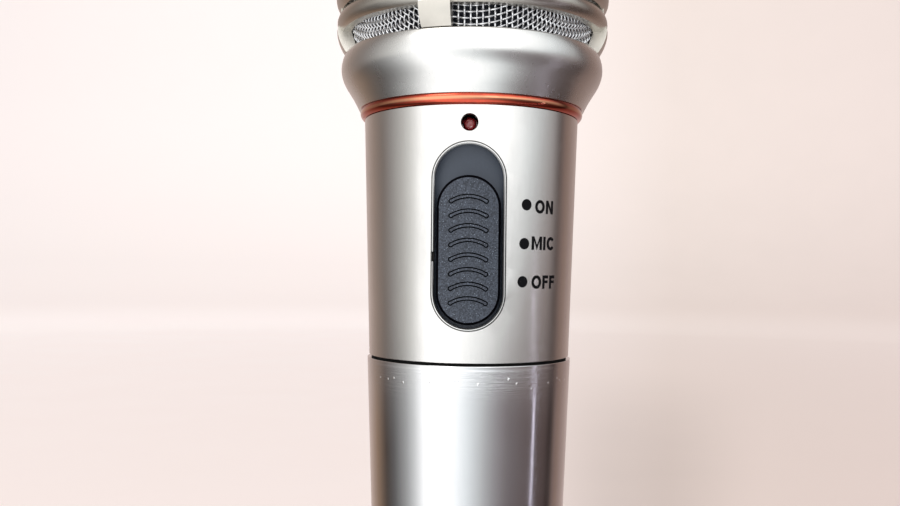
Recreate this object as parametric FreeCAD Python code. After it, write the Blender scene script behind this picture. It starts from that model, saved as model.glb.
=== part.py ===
import FreeCAD, Part
import math
import os

# Handheld dynamic microphone, standing upright on its tail.  Millimetres.
# +Z runs along the handle towards the head, -Y is the side with the switch.
# Origin: centre of the tail's end face.

V = FreeCAD.Vector
X_AXIS = V(1, 0, 0)
Y_AXIS = V(0, 1, 0)
Z_AXIS = V(0, 0, 1)

# Levels along the handle
TAIL_RING_Z = 4.0
COVER_TOP_Z = 129.75
HOUSING_BASE_Z = 130.25
HOUSING_TOP_Z = 176.2
ACCENT_TOP_Z = 178.05
COLLAR_FLOOR_Z = 186.5
COLLAR_LIP_Z = 189.05
BALL_Z = 200.2

# Handle radii
COVER_BASE_R = 15.0
COVER_TOP_R = 20.0
COVER_WALL = 1.25
HOUSING_BASE_R = 19.65
HOUSING_TOP_R = 21.1
HOUSING_WALL = 1.8
SEAM_ROUND = 0.12
RUNNING_GAP = 0.08

# Switch, its slot and the lamp; cuts from the front run between the first two levels
CUT_FRONT_Y = -30.0
CUT_BACK_Y = -10.0
SLOT_Z = 152.83
SLOT_W = 13.3
SLOT_L = 33.7
TRIM_GAP = 0.12
TRIM_WALL = 0.35
TRIM_DEPTH = 1.8
TRIM_CHAMFER = 0.2
NICK_Z = 149.2
NICK_HALF = 0.8
NICK_FLOOR_Y = -17.7
KNOB_Z = 150.35
KNOB_W = 11.4
KNOB_L = 26.5
KNOB_RISE = 1.0
KNOB_SINK = 1.6
KNOB_TRAVEL = 5.0
RIDGE_COUNT = 8
RIDGE_PITCH = 2.57
RIDGE_TOP_Z = 159.85
RIDGE_R = 5.9
RIDGE_HALF = 3.1
RIDGE_W = 0.38
RIDGE_END_R = 0.25
RIDGE_RISE = 0.15
MOAT_W = 0.22
MOAT_DEPTH = 0.35
KNOB_CHAMFER = 0.45
STEM_HALF = 2.2
STEM_FRONT_Y = -18.9
STEM_BACK_Y = -13.2
LEVER_HALF = 1.0
LEVER_FRONT_Y = -15.5
LEVER_BACK_Y = -10.4
LEVER_LEVELS = (148.6, 151.8)
BACKPLATE_SINK = 1.9
BACKPLATE_T = 1.0
BACKPLATE_HALF = 8.5
BACKPLATE_BASE_Z = 131.3
BACKPLATE_TOP_Z = 170.9
LAMP_Z = 173.0
LAMP_HOLE_R = 1.57
LAMP_R = 1.2
LAMP_TIP_Y = -19.4
LAMP_FLANGE_R = 1.6
LAMP_FLANGE_Y = -16.6
LAMP_BACK_Y = -15.6
LAMP_LEAD_R = 0.25
LAMP_LEAD_X = 0.64

# Circuit board
BOARD_FRONT_Y = -7.2
BOARD_T = 1.6
BOARD_BASE_Z = 139.0
BOARD_TOP_Z = 175.5
BOARD_HALF = 12.5
TAB_HALF = 8.0
TAB_Z = 165.0
BOARD_SCREW_X = 10.5
BOARD_SCREW_LEVELS = (142.0, 162.0)
TONGUE_FRONT_Y = -3.6
TONGUE_BACK_Y = -1.8
SCREW_HEAD_R = 1.8
SCREW_SHANK_R = 0.95
SCREW_HOLE_R = 1.0

# Head
MESH_R = 24.85
MESH_T = 0.4
CAGE_IN_R = 25.1
CAGE_OUT_R = 26.9
BEAD_EDGE = 0.9
CAGE_RINGS = ((193.0, 196.6, 27.25, 1.6), (197.2, 202.0, 26.95, BEAD_EDGE),
              (204.0, 207.6, 26.9, BEAD_EDGE), (209.6, 212.8, 26.9, BEAD_EDGE),
              (214.7, 217.6, 26.9, BEAD_EDGE))
CAP_Z = 219.4
BAR_ANGLE = 12.4
BAR_PLACES = (-13.8, 83.0, 180.0, -83.0)
BAR_BALL_R = 26.3
THREAD_R = 18.68
FOAM_OUT_R = 24.2
FOAM_IN_R = 21.2

# Neck, joint sleeve and inner frames
NECK_BASE_Z = 168.0
NECK_TOP_Z = 187.0
NECK_IN_R = 15.6
SLEEVE_BASE_Z = 118.0
SLEEVE_TOP_Z = 138.0
SLEEVE_R = 16.5
SLEEVE_IN_R = 14.6
BULKHEAD_Z = 118.0
BULKHEAD_T = 3.0

# Battery bay for two AA cells side by side
BAY_BASE_Z = 60.0
BAY_WALL = 2.5
BAY_R = 15.7
CELL_R = 7.1
CELL_L = 49.2
CELL_X = 7.28
NUB_R = 2.75
NUB_H = 1.0
PLATE_T = 0.3

# Tail frame: a tube around the connector, a trough above it and a head under the bay
TUBE_BASE_Z = 12.0
TUBE_TOP_Z = 27.0
TROUGH_TOP_Z = 57.0
TAIL_FRAME_R = 12.9
GRUB_Z = 18.0

# Three-pin connector insert in the tail
INSERT_BASE_Z = 0.4
INSERT_TOP_Z = 24.0
INSERT_R = 11.0
SOCKET_R = 8.1
SOCKET_TOP_Z = 16.4
LATCH_GROOVE = (4.6, 6.4, 8.7)
PIN_R = 1.2
PIN_CIRCLE_R = 4.0
PIN_TIP_Z = 7.0

# Capsule
CAPSULE_BASE_Z = 182.0
CAPSULE_STEP_Z = 189.0
CAPSULE_TOP_Z = 206.0
CAPSULE_REAR_R = 11.5
CAPSULE_R = 14.3
YOKE_BASE_Z = 190.2
YOKE_TOP_Z = 199.0
RIM_Z = 201.6
FILM_T = 0.2
COIL_IN_R = 9.0
COIL_OUT_R = 9.5
DOME_TOP_Z = 204.0
DOME_R = 21.6

# Leads
LEAD_R = 0.45
LEAD_Y = -6.4
SUPPLY_X = 3.2
SUPPLY_Y = -9.0


def ring(z0, z1, r_in, r_out):
    outer = Part.makeCylinder(r_out, z1 - z0, V(0, 0, z0))
    return outer.cut(Part.makeCylinder(r_in, z1 - z0, V(0, 0, z0)))


def disc(z0, z1, r):
    return Part.makeCylinder(r, z1 - z0, V(0, 0, z0))


def frustum(z0, z1, r0, r1):
    return Part.makeCone(r0, r1, z1 - z0, V(0, 0, z0))


def block(x0, x1, y0, y1, z0, z1):
    return Part.makeBox(x1 - x0, y1 - y0, z1 - z0, V(x0, y0, z0))


def rod(x, y, z0, z1, r):
    return Part.makeCylinder(r, z1 - z0, V(x, y, z0))


def peg(x, z, y0, y1, r):
    """A round peg along Y."""
    return Part.makeCylinder(r, y1 - y0, V(x, y0, z), Y_AXIS)


def fused(shapes):
    whole = shapes[0]
    for shape in shapes[1:]:
        whole = whole.fuse(shape)
    return whole.removeSplitter()


def line(a, b):
    return Part.makeLine(V(a[0], 0, a[1]), V(b[0], 0, b[1]))


def arc(a, b, c):
    return Part.Arc(V(a[0], 0, a[1]), V(b[0], 0, b[1]), V(c[0], 0, c[1])).toShape()


def curve(points):
    spline = Part.BSplineCurve()
    spline.interpolate([V(r, 0, z) for r, z in points])
    return spline.toShape()


def polygon(points):
    return [line(a, b) for a, b in zip(points, points[1:] + points[:1])]


def turned(edges, angle=360.0):
    """A solid of revolution about Z from (radius, height) edges."""
    face = Part.Face(Part.Wire(Part.__sortEdges__(edges)))
    return face.revolve(V(0, 0, 0), Z_AXIS, angle)


def spun(shape, angle):
    copy = shape.copy()
    copy.rotate(V(0, 0, 0), Z_AXIS, angle)
    return copy


def stadium(width, length, z, y0, y1):
    """A prism along Y with a round-ended outline that stands on end."""
    r = width / 2
    reach = length / 2 - r
    middle = block(-r, r, y0, y1, z - reach, z + reach)
    return fused([middle, peg(0, z + reach, y0, y1, r), peg(0, z - reach, y0, y1, r)])


def housing_r(z):
    slope = (HOUSING_TOP_R - HOUSING_BASE_R) / (HOUSING_TOP_Z - HOUSING_BASE_Z)
    return HOUSING_BASE_R + slope * (z - HOUSING_BASE_Z)


def cover_r(z):
    return COVER_BASE_R + (COVER_TOP_R - COVER_BASE_R) * z / COVER_TOP_Z


def housing_layer(z0, z1, low, high):
    """The space between two offsets of the housing's outer surface."""
    outer = frustum(z0, z1, housing_r(z0) + high, housing_r(z1) + high)
    return outer.cut(frustum(z0, z1, housing_r(z0) + low, housing_r(z1) + low))


def ball_r(radius, z):
    return math.sqrt(radius ** 2 - (z - BALL_Z) ** 2)


def ball_point(radius, z):
    return (ball_r(radius, z), z)


def ball_arc(radius, z0, z1):
    return arc(ball_point(radius, z0), ball_point(radius, (z0 + z1) / 2), ball_point(radius, z1))


def edges_near(shape, test):
    return [edge for edge in shape.Edges if test(edge)]


def lead(points, bends, r=LEAD_R):
    """A wire: straight runs joined by tangent arcs, one bend radius for each inner point."""
    points = [V(*p) for p in points]
    edges = []
    start = points[0]
    for before, corner, after, bend in zip(points, points[1:], points[2:], bends):
        into = (corner - before).normalize()
        out = (after - corner).normalize()
        half_turn = into.getAngle(out) / 2
        reach = bend * math.tan(half_turn)
        first = corner - into * reach
        last = corner + out * reach
        inward = (out - into).normalize()
        centre = corner + inward * (bend / math.cos(half_turn))
        middle = centre - inward * bend
        edges.append(Part.makeLine(start, first))
        edges.append(Part.Arc(first, middle, last).toShape())
        start = last
    edges.append(Part.makeLine(start, points[-1]))
    path = Part.Wire(edges)
    section = Part.Wire(Part.makeCircle(r, points[0], points[1] - points[0]))
    return path.makePipeShell([section], True, False)


def coil_spring(x, z0, z1, turns, radius, wire):
    helix = Part.makeHelix((z1 - z0 - 2 * wire) / turns, z1 - z0 - 2 * wire, radius)
    start = V(radius, 0, 0)
    section = Part.Wire(Part.makeCircle(wire, start, Y_AXIS))
    spring = Part.Wire(helix).makePipeShell([section], True, True)
    spring.translate(V(x, 0, z0 + wire))
    return spring


# ---------------------------------------------------------------- head

def head_collar():
    """Flared collar: bead of the accent ring below, rolled lip above, thread inside."""
    base = (22.2, ACCENT_TOP_Z + 0.05)
    edge = (25.1, 188.7)
    outside = curve([base, (22.87, 179.4), (23.75, 180.95), (24.72, 182.45), (25.45, 183.95),
                     (25.78, 185.3), (25.78, 186.4), (25.55, 187.6), edge])
    lip = arc(edge, (24.85, 188.97), (24.5, COLLAR_LIP_Z))
    inside = [(24.5, COLLAR_LIP_Z), (22.4, COLLAR_LIP_Z), (22.4, COLLAR_FLOOR_Z),
              (THREAD_R, COLLAR_FLOOR_Z), (THREAD_R, ACCENT_TOP_Z + 0.05), base]
    steps = [line(a, b) for a, b in zip(inside, inside[1:])]
    return turned([outside, lip] + steps)


def cage_ring(z0, z1, outer, edge):
    """One bead of the cage, flat inside and round outside."""
    middle = (z0 + z1) / 2
    crown = (ball_r(outer, middle), middle)
    low = (ball_r(CAGE_IN_R, z0) + edge, z0)
    high = (ball_r(CAGE_IN_R, z1) + BEAD_EDGE, z1)
    inner = ball_arc(CAGE_IN_R, z0, z1)
    return turned([inner, line(ball_point(CAGE_IN_R, z0), low), arc(low, crown, high),
                   line(high, ball_point(CAGE_IN_R, z1))])


def cage_bar():
    """One upright of the cage: it leans out from the collar's lip and follows the ball."""
    foot = (25.1, COLLAR_LIP_Z)
    heel = (26.75, 193.3)
    notch = ball_point(BAR_BALL_R, 196.6)
    top = ball_point(BAR_BALL_R, CAP_Z)
    lean = curve([foot, (25.95, 190.4), (26.45, 191.6), (26.68, 192.5), heel])
    outside = [lean, line(heel, notch), ball_arc(BAR_BALL_R, 196.6, CAP_Z)]
    inside = [line(top, ball_point(CAGE_IN_R, CAP_Z)), ball_arc(CAGE_IN_R, COLLAR_LIP_Z, CAP_Z),
              line(ball_point(CAGE_IN_R, COLLAR_LIP_Z), foot)]
    return spun(turned(outside + inside, BAR_ANGLE), -90 - BAR_ANGLE / 2)


def grille_cage():
    rings = [cage_ring(*row) for row in CAGE_RINGS]
    bar = cage_bar()
    bars = [spun(bar, angle) for angle in BAR_PLACES]
    return fused(rings + bars)


def top_cap():
    """Domed disc that closes the cage, with a shallow round groove."""
    dome = arc(ball_point(CAGE_OUT_R, CAP_Z), ball_point(CAGE_OUT_R, 224.4), (0, BALL_Z + CAGE_OUT_R))
    under = arc((0, BALL_Z + CAGE_IN_R), ball_point(CAGE_IN_R, 223.0), ball_point(CAGE_IN_R, CAP_Z))
    cap = turned([dome, line((0, BALL_Z + CAGE_OUT_R), (0, BALL_Z + CAGE_IN_R)), under,
                  line(ball_point(CAGE_IN_R, CAP_Z), ball_point(CAGE_OUT_R, CAP_Z))])
    groove = Part.makeTorus(11.0, 0.5, V(0, 0, BALL_Z + ball_r(CAGE_OUT_R, BALL_Z + 11.0)))
    return cap.cut(groove)


def ball_shell(outer, inner, base):
    """A ball's shell above a level, open below."""
    space = disc(base, BALL_Z + outer + 1, outer + 1)
    shell = Part.makeSphere(outer, V(0, 0, BALL_Z)).cut(Part.makeSphere(inner, V(0, 0, BALL_Z)))
    return shell.common(space)


def grille_mesh():
    return ball_shell(MESH_R, MESH_R - MESH_T, 188.75)


def foam_windscreen():
    return ball_shell(FOAM_OUT_R, FOAM_IN_R, 189.3)


def mesh_retainer():
    """Inner ring that holds the mesh's rim in the collar."""
    return turned(polygon([(19.5, 186.55), (22.2, 186.55), (22.2, 188.6), (21.3, 188.6),
                           (20.9, 187.4), (19.5, 187.4)]))


def accent_ring():
    """Thin anodised bead between the collar and the housing."""
    inner = THREAD_R
    base = HOUSING_TOP_Z + 0.05
    low = (21.3, base)
    high = (21.82, ACCENT_TOP_Z)
    bead = arc(low, (21.97, 177.2), high)
    return turned([bead, line(high, (inner, ACCENT_TOP_Z)), line((inner, ACCENT_TOP_Z), (inner, base)),
                   line((inner, base), low)])


# ---------------------------------------------------------------- upper housing and switch

def upper_housing():
    """Tapered shell with the switch slot and the lamp's hole."""
    shell = frustum(HOUSING_BASE_Z, HOUSING_TOP_Z, HOUSING_BASE_R, HOUSING_TOP_R)
    rims = edges_near(shell, lambda edge: len(edge.Vertexes) == 1)
    shell = shell.makeFillet(SEAM_ROUND, rims)
    shell = shell.cut(frustum(HOUSING_BASE_Z, HOUSING_TOP_Z, HOUSING_BASE_R - HOUSING_WALL,
                              HOUSING_TOP_R - HOUSING_WALL))
    shell = shell.cut(stadium(SLOT_W, SLOT_L, SLOT_Z, CUT_FRONT_Y, CUT_BACK_Y))
    shell = shell.cut(peg(0, LAMP_Z, CUT_FRONT_Y, CUT_BACK_Y, LAMP_HOLE_R))
    return shell.cut(slot_nick())


def slot_nick():
    """The small upright notch in the left side of the slot's edge."""
    outer = -SLOT_W / 2 - 0.12
    inner = -SLOT_W / 2 + TRIM_GAP + TRIM_WALL + 0.1
    return block(outer, inner, CUT_FRONT_Y, NICK_FLOOR_Y, NICK_Z - NICK_HALF, NICK_Z + NICK_HALF)


def slot_trim():
    """Thin bright frame that lines the slot, with a bevelled inner edge."""
    outer_w = SLOT_W - 2 * TRIM_GAP
    outer_l = SLOT_L - 2 * TRIM_GAP
    trim = stadium(outer_w, outer_l, SLOT_Z, CUT_FRONT_Y, CUT_BACK_Y)
    trim = trim.common(housing_layer(SLOT_Z - 18, SLOT_Z + 18, -TRIM_DEPTH, 0))
    inner_w = outer_w - 2 * TRIM_WALL
    inner_l = outer_l - 2 * TRIM_WALL
    trim = trim.cut(stadium(inner_w, inner_l, SLOT_Z, CUT_FRONT_Y, CUT_BACK_Y))
    trim = trim.makeChamfer(TRIM_CHAMFER, edges_near(trim, on_trim_rim))
    return trim.cut(slot_nick())


def on_trim_rim(edge):
    """True for the inner edges of the slot's frame on the housing's outer surface."""
    middle = edge.valueAt((edge.FirstParameter + edge.LastParameter) / 2)
    half_w = SLOT_W / 2 - TRIM_GAP - TRIM_WALL
    reach = SLOT_L / 2 - SLOT_W / 2
    over = max(abs(middle.z - SLOT_Z) - reach, 0)
    inner = abs(math.hypot(middle.x, over) - half_w) < 0.05
    return inner and abs(math.hypot(middle.x, middle.y) - housing_r(middle.z)) < 0.02


def knob_arches(spread, low, high):
    """Round-ended arches across the knob between two offsets of its outer face."""
    arches = []
    layer = housing_layer(KNOB_Z - 14, KNOB_Z + 14, KNOB_RISE + low, KNOB_RISE + high)
    half_w = RIDGE_W / 2 + spread
    end_rise = math.sqrt(RIDGE_R ** 2 - RIDGE_HALF ** 2)
    for k in range(RIDGE_COUNT):
        centre = RIDGE_TOP_Z - k * RIDGE_PITCH - RIDGE_R
        band = peg(0, centre, CUT_FRONT_Y, CUT_BACK_Y, RIDGE_R + half_w)
        band = band.cut(peg(0, centre, CUT_FRONT_Y, CUT_BACK_Y, RIDGE_R - half_w))
        band = band.common(block(-RIDGE_HALF, RIDGE_HALF, CUT_FRONT_Y, CUT_BACK_Y,
                                 centre, centre + 2 * RIDGE_R))
        ends = [peg(x, centre + end_rise, CUT_FRONT_Y, CUT_BACK_Y, RIDGE_END_R + spread)
                for x in (-RIDGE_HALF, RIDGE_HALF)]
        arches.append(fused([band] + ends).common(layer))
    return arches


def switch_knob():
    """Thumb slide with a bevelled rim, sunk ridges and a stem that takes the switch lever."""
    cap = stadium(KNOB_W, KNOB_L, KNOB_Z, CUT_FRONT_Y, CUT_BACK_Y)
    cap = cap.common(housing_layer(KNOB_Z - 14, KNOB_Z + 14, -KNOB_SINK, KNOB_RISE))
    top_edges = edges_near(cap, on_knob_rim)
    cap = cap.makeChamfer(KNOB_CHAMFER, top_edges)
    for moat in knob_arches(MOAT_W, -MOAT_DEPTH, 1):
        cap = cap.cut(moat)
    low, high = LEVER_LEVELS
    stem = block(-STEM_HALF, STEM_HALF, STEM_FRONT_Y, STEM_BACK_Y, low - 1.2, high + 1.2)
    knob = fused([cap, stem] + knob_arches(0, -MOAT_DEPTH - 0.1, RIDGE_RISE))
    pocket = block(-LEVER_HALF - 0.05, LEVER_HALF + 0.05, LEVER_FRONT_Y - 0.1, STEM_BACK_Y + 0.2,
                   low - 0.05, high + 0.05)
    return knob.cut(pocket)


def on_knob_rim(edge):
    """True for the edges around the knob's outer face."""
    middle = edge.valueAt((edge.FirstParameter + edge.LastParameter) / 2)
    radius = math.hypot(middle.x, middle.y)
    return abs(radius - housing_r(middle.z) - KNOB_RISE) < 0.02


def switch_backplate():
    """Smooth dark plate fixed behind the slot; the knob's stem runs in its window."""
    sector = block(-BACKPLATE_HALF, BACKPLATE_HALF, CUT_FRONT_Y, CUT_BACK_Y,
                   BACKPLATE_BASE_Z, BACKPLATE_TOP_Z)
    layer = housing_layer(BACKPLATE_BASE_Z - 0.3, BACKPLATE_TOP_Z + 0.3,
                          -BACKPLATE_SINK - BACKPLATE_T, -BACKPLATE_SINK)
    low, high = LEVER_LEVELS
    window = block(-STEM_HALF - 0.3, STEM_HALF + 0.3, CUT_FRONT_Y, CUT_BACK_Y,
                   low - 1.6, high + 1.6 + KNOB_TRAVEL)
    return layer.common(sector).cut(window)


def slide_switch_body():
    """Metal-cased slide switch with a window for its lever."""
    case = block(-4.2, 4.2, -11.8, BOARD_FRONT_Y, 141.5, 163.0)
    uprights = edges_near(case, lambda edge: abs(edge.Vertexes[0].Z - edge.Vertexes[1].Z) > 1)
    case = case.makeFillet(0.4, uprights)
    low, high = LEVER_LEVELS
    return case.cut(block(-1.4, 1.4, -12, -9.6, low - 0.4, high + 0.4 + KNOB_TRAVEL))


def switch_lever():
    low, high = LEVER_LEVELS
    return block(-LEVER_HALF, LEVER_HALF, LEVER_FRONT_Y, LEVER_BACK_Y, low, high)


def lamp_lens():
    """Round-nosed 3 mm indicator lamp with its flange."""
    nose = Part.makeSphere(LAMP_R, V(0, LAMP_TIP_Y + LAMP_R, LAMP_Z))
    barrel = peg(0, LAMP_Z, LAMP_TIP_Y + LAMP_R, LAMP_BACK_Y, LAMP_R)
    flange = peg(0, LAMP_Z, LAMP_FLANGE_Y, LAMP_BACK_Y, LAMP_FLANGE_R)
    return fused([nose, barrel, flange])


def lamp_leads():
    return Part.makeCompound([peg(x, LAMP_Z, LAMP_BACK_Y, BOARD_FRONT_Y, LAMP_LEAD_R)
                              for x in (-LAMP_LEAD_X, LAMP_LEAD_X)])


# ---------------------------------------------------------------- neck, sleeve and frames

def neck_sleeve():
    """Threaded neck that carries the head; cleared at the front for the plate and the lamp."""
    neck = ring(NECK_BASE_Z, NECK_TOP_Z, NECK_IN_R, THREAD_R - RUNNING_GAP)
    relief = BACKPLATE_HALF + 0.5
    neck = neck.cut(block(-relief, relief, CUT_FRONT_Y, 0, NECK_BASE_Z - 1, BACKPLATE_TOP_Z + 0.3))
    return neck.cut(peg(0, LAMP_Z, CUT_FRONT_Y, CUT_BACK_Y, 2.2))


def joint_sleeve():
    """Threaded sleeve that joins the housing to the battery cover."""
    step_r = HOUSING_BASE_R - HOUSING_WALL - 0.05
    outer = fused([disc(SLEEVE_BASE_Z, HOUSING_BASE_Z + 0.05, SLEEVE_R),
                   disc(HOUSING_BASE_Z + 0.05, SLEEVE_TOP_Z, step_r)])
    sleeve = outer.cut(disc(SLEEVE_BASE_Z, SLEEVE_TOP_Z, SLEEVE_IN_R))
    relief = BACKPLATE_HALF + 0.5
    return sleeve.cut(block(-relief, relief, CUT_FRONT_Y, 0, HOUSING_BASE_Z + 0.7, SLEEVE_TOP_Z + 1))


def board_frame():
    """Bulkhead above the battery bay, with a tongue and posts for the circuit board."""
    floor = disc(BULKHEAD_Z, BULKHEAD_Z + BULKHEAD_T, SLEEVE_IN_R - 0.05)
    tongue = block(-11.0, 11.0, TONGUE_FRONT_Y, TONGUE_BACK_Y, BULKHEAD_Z + BULKHEAD_T, 164.5)
    posts = [peg(x, z, BOARD_FRONT_Y + BOARD_T, TONGUE_FRONT_Y, 2.0) for x, z in board_screw_places()]
    frame = fused([floor, tongue] + posts)
    for x, z in board_screw_places():
        frame = frame.cut(peg(x, z, BOARD_FRONT_Y, TONGUE_BACK_Y - 0.6, SCREW_HOLE_R))
    for x, y in frame_screw_places():
        frame = frame.cut(rod(x, y, BULKHEAD_Z, BULKHEAD_Z + BULKHEAD_T, SCREW_HOLE_R))
    return frame.cut(lead_ways(BULKHEAD_Z, BULKHEAD_Z + BULKHEAD_T))


def lead_ways(z0, z1):
    """The openings in a wall for the signal leads and the supply leads."""
    signal = block(-1.9, 1.9, -8.0, -5.6, z0, z1)
    supply = [rod(x, SUPPLY_Y, z0, z1, 0.9) for x in (-SUPPLY_X, SUPPLY_X)]
    return fused([signal] + supply)


def board_screw_places():
    return [(x, z) for x in (-BOARD_SCREW_X, BOARD_SCREW_X) for z in BOARD_SCREW_LEVELS]


def frame_screw_places():
    return [(-11.5, 3.0), (11.5, 3.0)]


def circuit_board():
    board = fused([block(-BOARD_HALF, BOARD_HALF, BOARD_FRONT_Y, BOARD_FRONT_Y + BOARD_T,
                         BOARD_BASE_Z, TAB_Z),
                   block(-TAB_HALF, TAB_HALF, BOARD_FRONT_Y, BOARD_FRONT_Y + BOARD_T,
                         TAB_Z, BOARD_TOP_Z)])
    for x, z in board_screw_places():
        board = board.cut(peg(x, z, BOARD_FRONT_Y, BOARD_FRONT_Y + BOARD_T, 1.05))
    return board


def board_screws():
    screws = []
    for x, z in board_screw_places():
        head = peg(x, z, BOARD_FRONT_Y - 1.0, BOARD_FRONT_Y, SCREW_HEAD_R)
        front = BOARD_FRONT_Y - 1.1
        floor = BOARD_FRONT_Y - 0.5
        cross = fused([block(x - 1.1, x + 1.1, front, floor, z - 0.2, z + 0.2),
                       block(x - 0.2, x + 0.2, front, floor, z - 1.1, z + 1.1)])
        shank = peg(x, z, BOARD_FRONT_Y, TONGUE_BACK_Y - 0.8, SCREW_SHANK_R)
        screws.append(fused([head, shank]).cut(cross))
    return Part.makeCompound(screws)


def radio_shield():
    """Folded tin box over the radio circuit, with a raised rim."""
    can = block(-11.8, -5.2, BOARD_FRONT_Y - 2.4, BOARD_FRONT_Y, 147.0, 159.0)
    return can.makeFillet(0.4, edges_near(can, lambda edge: edge.CenterOfMass.y < BOARD_FRONT_Y - 2.3))


def audio_chip():
    body = block(5.4, 9.4, BOARD_FRONT_Y - 1.5, BOARD_FRONT_Y - 0.15, 149.5, 156.5)
    legs = []
    for k in range(6):
        z = 150.25 + 1.1 * k
        legs.append(block(4.7, 10.1, BOARD_FRONT_Y - 0.75, BOARD_FRONT_Y, z - 0.2, z + 0.2))
    return fused([body] + legs)


def crystal():
    can = block(6.9, 10.3, BOARD_FRONT_Y - 3.2, BOARD_FRONT_Y, 145.2, 147.6)
    along_y = edges_near(can, lambda edge: abs(edge.tangentAt(edge.FirstParameter).y) > 0.9)
    return can.makeFillet(1.0, along_y)


def board_capacitors():
    tall = peg(6.8, 159.4, BOARD_FRONT_Y - 5.0, BOARD_FRONT_Y, 2.0)
    short = peg(-7.6, 144.0, BOARD_FRONT_Y - 4.0, BOARD_FRONT_Y, 1.6)
    return Part.makeCompound([tall, short])


def chip_resistors():
    places = [(-7.0, 161.4), (-7.0, 163.2), (5.8, 144.0),
              (-5.4, 166.8), (-5.4, 169.0), (5.4, 166.8), (5.4, 169.0)]
    front = BOARD_FRONT_Y - 0.5
    return Part.makeCompound([block(x - 0.8, x + 0.8, front, BOARD_FRONT_Y, z - 0.4, z + 0.4)
                              for x, z in places])


def frame_screws():
    screws = []
    top = BULKHEAD_Z + BULKHEAD_T
    for x, y in frame_screw_places():
        screws.append(fused([rod(x, y, top, top + 1.1, SCREW_HEAD_R),
                             rod(x, y, 116.3, top, SCREW_SHANK_R)]))
    return Part.makeCompound(screws)


# ---------------------------------------------------------------- battery bay

def bay_ends():
    low = BAY_BASE_Z + BAY_WALL
    high = BULKHEAD_Z - BAY_WALL
    return low, high


def battery_holder():
    """Saddle for two cells side by side, open to the front, with a wall at each end."""
    low, high = bay_ends()
    holder = disc(BAY_BASE_Z, BULKHEAD_Z, BAY_R)
    holder = holder.cut(block(-20, 20, -20, 0, low, high))
    for x in (-CELL_X, CELL_X):
        holder = holder.cut(rod(x, 0, low, high, CELL_R + 0.15))
    for x, y in frame_screw_places():
        holder = holder.cut(rod(x, y, 116.1, BULKHEAD_Z, SCREW_HOLE_R))
    for x, y in tail_screw_places():
        holder = holder.cut(rod(x, y, BAY_BASE_Z, low - 0.1, SCREW_HOLE_R))
    holder = holder.cut(lead_ways(high, BULKHEAD_Z))
    return holder.cut(block(-1.9, 1.9, -8.0, -5.6, BAY_BASE_Z, low))


def cell(x, base, up):
    """One AA cell; its contact nub is on top when up is true."""
    jacket = rod(x, 0, base, base + CELL_L, CELL_R)
    jacket = jacket.makeFillet(0.5, edges_near(jacket, lambda edge: len(edge.Vertexes) == 1))
    nub_z = base + CELL_L if up else base - NUB_H
    return fused([jacket, rod(x, 0, nub_z, nub_z + NUB_H, NUB_R)])


def left_cell():
    return cell(-CELL_X, bay_ends()[1] - PLATE_T - NUB_H - CELL_L, True)


def right_cell():
    return cell(CELL_X, bay_ends()[0] + PLATE_T + NUB_H, False)


def battery_springs():
    low, high = bay_ends()
    gap = high - low - 2 * PLATE_T - NUB_H - CELL_L
    left = coil_spring(-CELL_X, low + PLATE_T, low + PLATE_T + gap, 2.5, 3.4, 0.3)
    right = coil_spring(CELL_X, high - PLATE_T - gap, high - PLATE_T, 2.5, 3.4, 0.3)
    return Part.makeCompound([left, right])


def battery_contacts():
    """Bridge plate below and one plate with a solder tab above each cell."""
    low, high = bay_ends()
    plates = [fused([block(-12.4, -2.6, -5.0, 4.6, low, low + PLATE_T),
                     block(2.6, 12.4, -5.0, 4.6, low, low + PLATE_T),
                     block(-2.6, 2.6, -5.0, -0.6, low, low + PLATE_T)])]
    for side in (-1, 1):
        plate = block(2.6, 12.4, -5.4, 4.6, high - PLATE_T, high)
        tab = block(2.2, 4.2, -10.0, -5.4, high - PLATE_T, high)
        whole = fused([plate, tab])
        plates.append(whole if side > 0 else whole.mirror(V(0, 0, 0), X_AXIS))
    return Part.makeCompound(plates)


# ---------------------------------------------------------------- tail and connector

def tail_frame():
    """Tube around the connector insert, and a trough that joins it to the battery bay."""
    tube = ring(TUBE_BASE_Z, TUBE_TOP_Z, INSERT_R + 0.05, TAIL_FRAME_R)
    trough = ring(TUBE_TOP_Z, TROUGH_TOP_Z, 11.3, TAIL_FRAME_R)
    trough = trough.common(block(-20, 20, 0, 20, TUBE_TOP_Z, TROUGH_TOP_Z))
    floor = ring(INSERT_TOP_Z, TUBE_TOP_Z, 7.0, TAIL_FRAME_R)
    head = disc(TROUGH_TOP_Z, BAY_BASE_Z, TAIL_FRAME_R)
    frame = fused([tube, floor, trough, head])
    for x, y in tail_screw_places():
        frame = frame.cut(rod(x, y, TROUGH_TOP_Z, BAY_BASE_Z, SCREW_HOLE_R))
    frame = frame.cut(Part.makeCylinder(1.25, 4, V(10, 0, GRUB_Z), X_AXIS))
    return frame.cut(block(-1.9, 1.9, -8.0, -5.6, TROUGH_TOP_Z, BAY_BASE_Z))


def tail_screw_places():
    return [(-5.0, 7.5), (5.0, 7.5)]


def tail_screws():
    screws = []
    for x, y in tail_screw_places():
        screws.append(fused([rod(x, y, TROUGH_TOP_Z - 1.1, TROUGH_TOP_Z, 1.6),
                             rod(x, y, TROUGH_TOP_Z, 62.3, SCREW_SHANK_R)]))
    return Part.makeCompound(screws)


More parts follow.
